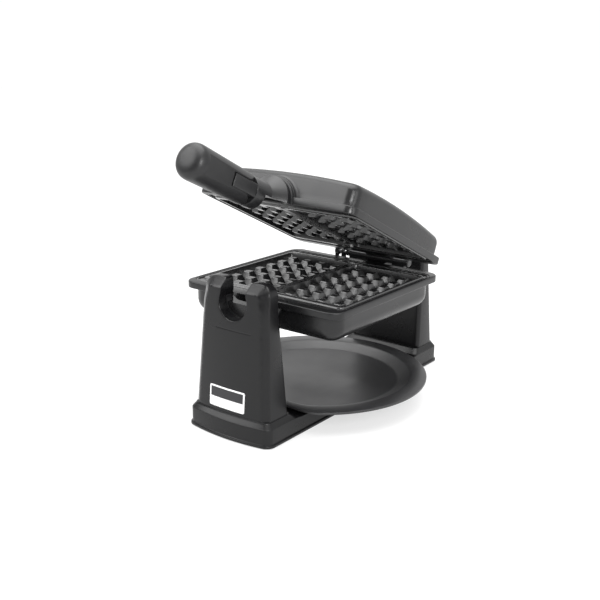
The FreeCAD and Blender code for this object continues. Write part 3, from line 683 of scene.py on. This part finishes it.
def outline_slab(outline, z0, z1, edge):
    """Slab over an outline of (x, y, nx, ny) samples with softened rims."""
    b = Build()
    rings = [inset(outline, d, z0 + drop) for d, drop in reversed(arc(edge, 3))]
    rings += [inset(outline, d, z1 - drop) for d, drop in arc(edge, 3)]
    ids = b.rings(rings)
    b.faces.append(tuple(reversed(ids[0])))
    b.faces.append(tuple(ids[-1]))
    return b


def tongue_outline():
    """Tongue plan: the corner that leads when the grip folds is rounded, the other stays square."""
    hx, root, tip = 17.2, -160.0, -208.8
    pts = [(hx, root, 1.0, 0.0), (-hx, root, -1.0, 0.0)]
    for cx, r, start in ((-hx, 10.0, 180), (hx, 1.2, 270)):
        middle = cx + r if cx < 0 else cx - r
        for k in range(9):
            a = math.radians(start + 90 * k / 8)
            pts.append((middle + r * math.cos(a), tip + r + r * math.sin(a), math.cos(a), math.sin(a)))
    return pts


collar = merge(halved(lathe(bell(18.6, -167.8), n=96), RIM + 0.1, True),
               halved(solid_rod(18.6, 18.6, -151.2, -167.8, 0.5), RIM + 0.1, False),
               outline_slab(tongue_outline(), FLIP_Z - 7.85, FLIP_Z + 7.85, 0.5))
piece("handle_neck", collar, "lid", M_LID, ("handle_collar",), opened=True)
journal = halved(lathe(bell(19.55, -149.5), n=96), 163.5, False)
piece("lower_bell", journal, "lower_half", M_SHELL, ("lower_journal",))


# ------------------------------------------------------------------ folding grip
def object_from(build, name):
    """Plain object in millimetres, for cutting."""
    mesh = bpy.data.meshes.new(name)
    mesh.from_pydata([(x, y, z) for x, y, z in build.verts], [], [f for f in build.faces if len(set(f)) > 2])
    mesh.update()
    obj = bpy.data.objects.new(name, mesh)
    bpy.context.scene.collection.objects.link(obj)
    bm = bmesh.new()
    bm.from_mesh(mesh)
    bmesh.ops.remove_doubles(bm, verts=bm.verts, dist=1e-4)
    bmesh.ops.recalc_face_normals(bm, faces=bm.faces)
    bm.to_mesh(mesh)
    bm.free()
    return obj


def block(x0, x1, y0, y1, z0, z1):
    b = Build()
    b.verts = [(x, y, z) for z in (z0, z1) for x, y in ((x0, y0), (x1, y0), (x1, y1), (x0, y1))]
    b.faces = [(3, 2, 1, 0), (4, 5, 6, 7), (0, 1, 5, 4), (1, 2, 6, 5), (2, 3, 7, 6), (3, 0, 4, 7)]
    return b


def carve(target, cutters, bevel, angle=28.0):
    """Cuts Builds away from an object, bevels its edges and returns the result as a Build."""
    used = []
    for build in cutters:
        other = object_from(build, "cutter")
        used.append(other)
        mod = target.modifiers.new("cut", "BOOLEAN")
        mod.operation = "DIFFERENCE"
        mod.solver = "EXACT"
        mod.object = other
    mod = target.modifiers.new("edge", "BEVEL")
    mod.width = bevel
    mod.segments = 3
    mod.limit_method = "ANGLE"
    mod.angle_limit = math.radians(angle)
    graph = bpy.context.evaluated_depsgraph_get()
    mesh = bpy.data.meshes.new_from_object(target.evaluated_get(graph))
    out = Build()
    out.verts = [tuple(v.co) for v in mesh.vertices]
    out.faces = [tuple(p.vertices) for p in mesh.polygons]
    for obj in used + [target]:
        bpy.data.objects.remove(obj)
    bpy.data.meshes.remove(mesh)
    return out


GRIP_Y, GRIP_R = (-172.6, -258.8), (19.6, 21.3)
GRIP_DOME, GRIP_FLAT = 15.0, 17.6
FOLD_Y, FORK_R, SLOT_HALF = -186.3, 17.7, 8.15


def grip_profile():
    """Slightly tapering bar with a blunt rounded end."""
    (y0, y1), (r0, r1) = GRIP_Y, GRIP_R
    pts = [(y0, 0.02)]
    for k in range(12):
        pts.append((y0 + (y1 - y0) * k / 12, r0 + (r1 - r0) * k / 12))
    pts.append((y1, r1))
    for k in range(1, 17):
        t = math.sin(math.pi / 2 * k / 16)
        pts.append((y1 - GRIP_DOME * t, max(0.02, r1 * (1 - t ** 3.0) ** (1 / 3.0))))
    return pts


def fork_end_cutter():
    """Everything in front of the round ends of the fork."""
    cutter = Build()
    outline = [(40.0, FOLD_Y)]
    for k in range(25):
        a = math.pi * k / 24
        outline.append((FORK_R * math.cos(a), FOLD_Y + FORK_R * math.sin(a)))
    outline += [(-40.0, FOLD_Y), (-40.0, -150.0), (40.0, -150.0)]
    bottom = cutter.ring([(x, y, 100.0) for x, y in outline])
    top_ring = cutter.ring([(x, y, 240.0) for x, y in outline])
    cutter.strip(bottom, top_ring)
    cutter.faces += [tuple(bottom), tuple(reversed(top_ring))]
    return cutter


grip = object_from(lathe(grip_profile(), n=96, close=False), "grip")
slot_box = block(-40, 40, -212.3, -160, FLIP_Z - SLOT_HALF, FLIP_Z + SLOT_HALF)
flat_right = block(GRIP_FLAT, 40, -258.6, -150, 100, 240)
flat_left = block(-40, -GRIP_FLAT, -258.6, -150, 100, 240)
grip_build = carve(grip, [slot_box, flat_right, flat_left, fork_end_cutter()], 0.7)
piece("grip", grip_build, "handle", M_GRIP, ("grip_body", "grip_end_cap"), opened=True)


# ------------------------------------------------------------------ pillars
PILLAR_Z0, PILLAR_Z1 = 31.0, 193.6


def taper(low, high, z):
    """Value at height z of a size that changes evenly from the pillar's foot to its top."""
    return low + (high - low) * (z - PILLAR_Z0) / (PILLAR_Z1 - PILLAR_Z0)


def pillar_side(z):
    return taper(58.2, 49.5, z)


def bow(x, z):
    """Outward bow of a pillar's outer face."""
    return taper(4.5, 1.2, z) * max(0.0, 1 - (x / pillar_side(z)) ** 2)


def pillow(outline, y_low, y_high, spacing=6.0, detail=()):
    """Upright block over an (x, z, nx, nz, r_low, r_high) outline between two y surfaces.

    The two radii round the edges of the low and the high surface. Detail adds points on the low one.
    """
    b = Build()

    def ring(key, surface, sign, a):
        points = []
        for s in outline:
            r = s[4] if key == "low" else s[5]
            d = r * (1 - math.cos(a))
            x, z = s[0] - s[2] * d, s[1] - s[3] * d
            points.append((x, surface(x, z) + sign * r * (1 - math.sin(a)), z))
        return points

    steps = 6
    angles = [math.pi / 2 * k / steps for k in range(steps + 1)]
    rings = [ring("low", y_low, 1, a) for a in reversed(angles)]
    rings += [ring("high", y_high, -1, a) for a in angles]
    ids = b.rings(rings)
    for loop, surface, extra in ((ids[0], y_low, detail), (ids[-1], y_high, ())):
        flat = [(b.verts[i][0], b.verts[i][2]) for i in loop]
        b.fill(loop, flat, spacing, extra, lambda u, v, s=surface: (u, s(u, v), v))
    return b


def with_normals(points, radii):
    """Adds inward-consistent outline normals to a closed anticlockwise (x, z) outline."""
    out = []
    n = len(points)
    for i, (p, r) in enumerate(zip(points, radii)):
        a, c = points[i - 1], points[(i + 1) % n]
        d1 = Vector((p[0] - a[0], p[1] - a[1])).normalized()
        d2 = Vector((c[0] - p[0], c[1] - p[1])).normalized()
        t = (d1 + d2).normalized()
        spread = max(0.5, math.cos(0.5 * d1.angle(d2)))
        out.append((p[0], p[1], t.y / spread, -t.x / spread, r[0], r[1]))
    return out


def arc_points(cx, cz, r, a0, a1, n):
    """Points on an arc, with its angles in degrees."""
    return [(cx + r * math.cos(math.radians(a0 + (a1 - a0) * k / n)),
             cz + r * math.sin(math.radians(a0 + (a1 - a0) * k / n))) for k in range(n + 1)]


SEAM_X, SEAM_Z = (-24.0, 29.0), 134.6
SEAM_HALF, SEAM_DEPTH = 0.6, 0.22
HORN = (36.1, 179.5, 13.9)


def seam_points(off):
    """Places along the engraved line below the notch, shifted off to one side of it."""
    return [(SEAM_X[0] + (SEAM_X[1] - SEAM_X[0]) * k / 34, SEAM_Z + off) for k in range(35)]


def seam_gap(x, z):
    """Distance from the engraved line."""
    return math.hypot(z - SEAM_Z, max(0.0, x - SEAM_X[1], SEAM_X[0] - x))


def rim_gap(x, z):
    """Distance in from the pillar's outline: its sides, the horn arcs and the top."""
    cx, cz, r = HORN
    if abs(x) > cx and z > cz:
        return r - math.hypot(abs(x) - cx, z - cz)
    return min(pillar_side(z) - abs(x), cz + r - z)


def chamfer_width(z):
    return 7.5 + 3.1 * blend_ease((z - 160.0) / 18.0)


def chamfer_slope(x, z):
    """Steep across the top of the horns and shallower down the sides."""
    cx, cz, _ = HORN
    if z <= cz:
        return 0.67
    if abs(x) <= cx:
        return 1.05
    return 0.67 + 0.38 * blend_ease(math.atan2(z - cz, abs(x) - cx) / (math.pi / 2))


def chamfer_rows():
    """Points just either side of the line where the front face turns into its chamfer."""
    cx, cz, r = HORN
    rows = []
    for off in (-0.35, 0.35):
        for k in range(30):
            z = 34.0 + (cz - 36.0) * k / 29
            rows.append((pillar_side(z) - chamfer_width(z) + off, z))
        reach = r - chamfer_width(cz) + off
        rows += arc_points(cx, cz, reach, 80, 10, 4)
        rows += [(20.8 + (cx - 20.8) * k / 5, cz + reach) for k in range(6)]
    return rows + [(-x, z) for x, z in rows]


def front_y(x, z):
    """Front face of the pillar: bowed, chamfered along its outline, with the engraved line."""
    y = taper(-168.6, -160.2, z) - bow(x, z)
    groove = SEAM_DEPTH * max(0.0, 1 - seam_gap(x, z) / SEAM_HALF)
    return y + groove + chamfer_slope(x, z) * max(0.0, chamfer_width(z) - rim_gap(x, z))


def front_back_y(x, z):
    return taper(-126.5, -138.5, z)


def foot_line(foot):
    """Sharp bottom edge from the side to the middle."""
    return [((foot * (1 - k / 8), PILLAR_Z0), (0.05, 0.05)) for k in range(1, 9)]


def mirrored(half):
    """Closed outline from its right half, whose ends lie on the middle line."""
    left = [((-p[0], p[1]), r) for p, r in reversed(half[1:-1])]
    loop = list(reversed(half + left))
    return with_normals([p for p, _ in loop], [r for _, r in loop])


def pillar_outline():
    """Right half from the notch bottom to the foot, mirrored: seat, mouth, horn, side, foot."""
    half = []
    seat, mouth = 21.5, 19.3
    foot = pillar_side(PILLAR_Z0)
    meet = math.degrees(math.asin(math.sqrt(1 - (mouth / seat) ** 2)))
    for p in arc_points(0, FLIP_Z, seat, -90, meet - 8, 22):
        half.append((p, (1.2, 1.0)))
    neck_z = FLIP_Z + math.sqrt(seat ** 2 - mouth ** 2)
    half.append(((mouth + 0.15, neck_z + 0.8), (1.0, 1.0)))
    for k in range(1, 5):
        half.append(((mouth, neck_z + 0.8 + (189.0 - neck_z) * k / 5), (1.0, 1.0)))
    for p in arc_points(mouth + 3.0, 190.4, 3.0, 180, 100, 5):
        half.append((p, (1.0, 1.0)))
    half.append(((29.0, 193.4), (1.0, 1.2)))
    for p in arc_points(*HORN, 90, 2, 12):
        half.append((p, (1.2, 2.0)))
    for k in range(1, 24):
        z = 178.5 - (178.5 - 32.0) * k / 24
        r = 7.0 - 4.0 * blend_ease((z - 160.0) / 20.0)
        half.append(((pillar_side(z), z), (1.2, r)))
    half.append(((foot, PILLAR_Z0), (1.2, 7.0)))
    half += foot_line(foot)
    return mirrored(half)


detail_rows = [p for k in (-3, -1, 0, 1, 3) for p in seam_points(k * SEAM_HALF)] + chamfer_rows()
piece("front_pillar_shell", pillow(pillar_outline(), front_y, front_back_y, 3.6, detail_rows), "base",
      M_PILLAR, ("front_pillar",), angle=26.0)


def rear_y(x, z):
    return taper(179.5, 197.2, z)


def rear_back_y(x, z):
    return taper(223.0, 216.0, z) + bow(x, z)


def rear_outline():
    """Right half from the middle of the top to the foot, mirrored."""
    corner = 7.0
    corner_z = PILLAR_Z1 - corner
    corner_x = pillar_side(corner_z) - corner
    half = [((corner_x * k / 5, PILLAR_Z1), (5.0, 6.0)) for k in range(5)]
    half += [(p, (5.0, 6.0)) for p in arc_points(corner_x, corner_z, corner, 90, 4, 8)]
    for k in range(1, 20):
        z = corner_z - (corner_z - 32.0) * k / 20
        half.append(((pillar_side(z), z), (6.0, 9.0)))
    foot = pillar_side(PILLAR_Z0)
    half.append(((foot, PILLAR_Z0), (6.0, 9.0)))
    half += foot_line(foot)
    return mirrored(half)


piece("rear_pillar_shell", pillow(rear_outline(), rear_y, rear_back_y), "base", M_PILLAR,
      ("rear_pillar",))


# ------------------------------------------------------------------ base bar and pillar feet
def bulged_plan(hx, y0, y1, bulge0, bulge1, r, n=8, m=12):
    """Plan samples of a bar whose ends bow outwards."""
    samples = []
    for x, y, nx, ny in plan((hx, y0, y1, r), n, m):
        push = 0.0
        if ny > 0:
            push = bulge1 * (1 - (x / hx) ** 2) * min(1.0, (y - (y1 - r)) / r)
        if ny < 0:
            push = -bulge0 * (1 - (x / hx) ** 2) * min(1.0, ((y0 + r) - y) / r)
        samples.append((x, y + push, nx, ny))
    return samples


def bar_build():
    b = Build()
    outline = bulged_plan(64.0, -172.5, 227.0, 7.5, 7.5, 8.0, m=40)

    def deck(x, y):
        sink = 2.0 * blend_ease((y + 117.2) / 1.4) * blend_ease((167.2 - y) / 1.4)
        return 25.0 - sink

    rings = [inset(outline, 2.6, 1.6), inset(outline, -1.6, 1.4), inset(outline, -2.0, 1.8),
             inset(outline, -2.0, 4.0), inset(outline, -1.6, 4.6), inset(outline, -0.4, 5.0),
             inset(outline, 0.0, 5.5)]
    for d, drop in arc(1.2, 4):
        rings.append(inset(outline, d, lambda x, y, k=drop: deck(x, y) - k))
    ids = b.rings(rings)
    extra = [(x, y) for y in (-117.2, -116.5, -115.8, 165.8, 166.5, 167.2) for x in range(-60, 61, 10)]
    b.cap(ids[-1], deck, 14.0, extra)
    under = [inset(outline, 2.6, 1.6), inset(outline, 2.8, 19.0)]
    under_ids = b.rings(under)
    b.cap(under_ids[-1], lambda x, y: 19.0, 40.0)
    return b


def foot_block(low_y0, low_y1, high_y0, high_y1, front):
    """Sloping ledge below a pillar."""
    b = Build()
    a = bulged_plan(63.4, low_y0, low_y1, *((7.0, 0.0) if front else (0.0, 7.0)), 7.4)
    c = bulged_plan(59.3, high_y0, high_y1, *((4.8, 0.0) if front else (0.0, 4.8)), 7.0)
    rings = [inset(a, 0.0, 24.2), inset(a, 0.0, 25.0)]
    steps = 5
    for k in range(1, steps + 1):
        t = k / steps
        rings.append([(p[0] + (q[0] - p[0]) * t, p[1] + (q[1] - p[1]) * t, 25.0 + 5.3 * t)
                      for p, q in zip(a, c)])
    rings += [inset(c, 0.15, 30.75), inset(c, 0.5, 31.0)]
    ids = b.rings(rings)
    b.cap(ids[-1], lambda x, y: 31.0, 14.0)
    b.faces.append(tuple(reversed(ids[0])))
    return b


bar = merge(bar_build(), foot_block(-172.0, -116.0, -169.4, -124.0, True),
            foot_block(166.0, 226.5, 174.0, 223.9, False))
piece("base_bar", bar, "base", M_BASE, ("base_housing",))


# ------------------------------------------------------------------ drip tray
TRAY_Y = 11.0


def soft_min(a, b, k):
    """The smaller of two values, blended over k where they are close."""
    h = max(0.0, min(1.0, 0.5 + 0.5 * (b - a) / k))
    return b + (a - b) * h - k * h * (1 - h)


def tray_ring(radius, front, z, round_off=9.0, n=168):
    """Circle whose front is cut straight at y = front, with blended corners."""
    ring = []
    for k in range(n):
        a = 2 * math.pi * k / n
        c, s = math.cos(a), math.sin(a)
        reach = radius
        if s < -0.2:
            reach = soft_min(radius, (TRAY_Y - front) / -s, round_off)
        ring.append((reach * c, TRAY_Y + reach * s, z))
    return ring


def tray_build():
    b = Build()
    rings = [tray_ring(122.0, -99.0, 29.6), tray_ring(146.3, -110.8, 29.6), tray_ring(147.2, -111.7, 29.9),
             tray_ring(147.4, -111.9, 30.7), tray_ring(147.4, -111.9, 32.0), tray_ring(147.1, -111.6, 32.8),
             tray_ring(146.0, -110.5, 33.2), tray_ring(128.0, -101.5, 33.1), tray_ring(125.6, -100.0, 32.9),
             tray_ring(124.0, -99.2, 32.2), tray_ring(110.0, -95.0, 26.2), tray_ring(108.0, -94.0, 25.5),
             tray_ring(105.5, -92.5, 25.2), tray_ring(60.0, -49.0, 25.2), tray_ring(20.0, -9.0, 25.2)]
    ids = b.rings(rings)
    b.faces.append(tuple(ids[-1]))
    under = [tray_ring(122.0, -99.0, 29.6), tray_ring(109.0, -97.0, 23.6), tray_ring(107.5, -96.0, 23.2),
             tray_ring(60.0, -49.0, 23.2), tray_ring(20.0, -9.0, 23.2)]
    under_ids = b.rings(under)
    b.faces.append(tuple(reversed(under_ids[-1])))
    return b


piece("drip_dish", tray_build(), "tray", M_TRAY, ("drip_tray",))


# ------------------------------------------------------------------ finishes of the CAD pieces
def badge_material():
    """White plate with a black upper field and plain white lower field; no lettering."""
    mat, nodes, links, bsdf = shader("badge_print", (0.8, 0.8, 0.8), 0.4, 0.5)
    coords = nodes.new("ShaderNodeTexCoord").outputs["Object"]
    split = nodes.new("ShaderNodeSeparateXYZ")
    links.new(coords, split.inputs["Vector"])

    def inside(axis, low, high):
        result = []
        for limit, operation in ((low, "GREATER_THAN"), (high, "LESS_THAN")):
            node = nodes.new("ShaderNodeMath")
            node.operation = operation
            node.inputs[1].default_value = limit
            links.new(split.outputs[axis], node.inputs[0])
            result.append(node.outputs[0])
        both = nodes.new("ShaderNodeMath")
        both.operation = "MULTIPLY"
        links.new(result[0], both.inputs[0])
        links.new(result[1], both.inputs[1])
        return both.outputs[0]

    across, up = inside("X", -0.0280, 0.0230), inside("Z", 0.0480, 0.0602)
    field = nodes.new("ShaderNodeMath")
    field.operation = "MULTIPLY"
    links.new(across, field.inputs[0])
    links.new(up, field.inputs[1])
    tint(nodes, links, field.outputs[0], (0.80, 0.80, 0.80), (0.012, 0.012, 0.014), bsdf.inputs["Base Color"])
    speck = noise(nodes, links, coords, 900.0, 2.0)
    bump(nodes, links, speck, 0.15, 0.00002, bsdf.inputs["Normal"])
    links.new(ramp(nodes, links, speck, 0.36, 0.46), bsdf.inputs["Roughness"])
    return mat


FINISH = {
    "base_cover": M_BASE, "base_feet": M_RUBBER, "base_screws": M_STEEL, "front_cradle": M_LINER,
    "badge_plate": badge_material(), "rear_pillar_cover": M_PILLAR, "rear_bearing": M_LINER,
    "cord_inlet": M_RUBBER, "terminal_block": M_BLOCK, "lower_plate_screws": M_STEEL,
    "lower_heater": M_ELEMENT, "lower_reflector": M_REFLECTOR, "lower_thermostat": M_STEEL,
    "lower_thermal_fuse": M_STEEL, "lower_hinge_bracket": M_DARK, "hinge_pin": M_STEEL,
    "hinge_cap": M_DARK, "rear_shaft": M_DARK, "shaft_clip": M_STEEL, "lid_heater": M_ELEMENT,
    "lid_reflector": M_REFLECTOR, "lid_thermal_fuse": M_STEEL, "lid_plate_clips": M_STEEL,
    "lid_hinge_arms": M_DARK, "collar_pins": M_STEEL, "fold_pin": M_STEEL,
}
for node, material in FINISH.items():
    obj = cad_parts[node]
    obj.data.materials.clear()
    obj.data.materials.append(material)


# ------------------------------------------------------------------ floor, light and camera
floor_mesh = bpy.data.meshes.new("floor")
floor_mesh.from_pydata([(-6, -6, 0), (6, -6, 0), (6, 6, 0), (-6, 6, 0)], [], [(0, 1, 2, 3)])
floor = bpy.data.objects.new("floor", floor_mesh)
bpy.context.scene.collection.objects.link(floor)
floor_mat, _, _, floor_bsdf = shader("floor_white", (0.36, 0.36, 0.36), 0.9, 0.1)
floor_bsdf.inputs["Emission Color"].default_value = (1, 1, 1, 1)
floor_bsdf.inputs["Emission Strength"].default_value = 0.62
floor_mesh.materials.append(floor_mat)


def studio_world():
    """White cyclorama behind and above, dimmer towards the viewer's side of the room."""
    world = bpy.data.worlds.new("studio")
    world.use_nodes = True
    nodes, links = world.node_tree.nodes, world.node_tree.links
    split = nodes.new("ShaderNodeSeparateXYZ")
    links.new(nodes.new("ShaderNodeTexCoord").outputs["Generated"], split.inputs["Vector"])
    depth = ramp(nodes, links, split.outputs["Y"], 0.30, 1.02, -0.55, 0.15)
    height = ramp(nodes, links, split.outputs["Z"], 0.0, 0.75, 0.35, 0.95)
    most = nodes.new("ShaderNodeMath")
    most.operation = "MAXIMUM"
    links.new(depth, most.inputs[0])
    links.new(height, most.inputs[1])
    links.new(most.outputs[0], nodes["Background"].inputs["Strength"])
    nodes["Background"].inputs["Color"].default_value = (1, 1, 1, 1)
    bpy.context.scene.world = world


studio_world()


def soft_light(name, place, aim, size, power):
    data = bpy.data.lights.new(name, "AREA")
    data.shape = "RECTANGLE"
    data.size, data.size_y = size
    data.energy = power
    obj = bpy.data.objects.new(name, data)
    obj.location = place
    obj.rotation_euler = (Vector(aim) - Vector(place)).to_track_quat("-Z", "Y").to_euler()
    bpy.context.scene.collection.objects.link(obj)


soft_light("overhead", (-0.35, 0.0, 1.85), (0, 0, 0.1), (2.0, 2.0), 30)
soft_light("left_front", (-1.25, -1.3, 1.5), (0, 0, 0.2), (1.5, 1.1), 26)
soft_light("right_side", (1.9, -0.3, 0.8), (0, 0, 0.12), (0.5, 1.1), 6)
soft_light("corner_strip", (1.15, -1.0, 0.82), (0, 0, 0.2), (0.45, 0.6), 15)
sky = bpy.data.lights.new("sky_fill", "SUN")
sky.energy = 1.6
sky.angle = math.radians(70)
sky_obj = bpy.data.objects.new("sky_fill", sky)
bpy.context.scene.collection.objects.link(sky_obj)

scene = bpy.context.scene
scene.view_settings.view_transform = "Standard"
scene.view_settings.look = "None"
camera = bpy.data.objects.new("camera", bpy.data.cameras.new("camera"))
scene.collection.objects.link(camera)
place = Vector((0.681, -0.930 + SHIFT_Y * MM, 0.4721))
target = Vector((-0.0234, SHIFT_Y * MM, 0.1303))
turn = (target - place).to_track_quat("-Z", "Y").to_matrix() @ Matrix.Rotation(math.radians(0.63), 3, "Z")
camera.matrix_world = Matrix.Translation(place) @ turn.to_4x4()
camera.data.lens = 54.4
camera.data.sensor_width = 36.0
camera.data.clip_start = 0.01
scene.camera = camera
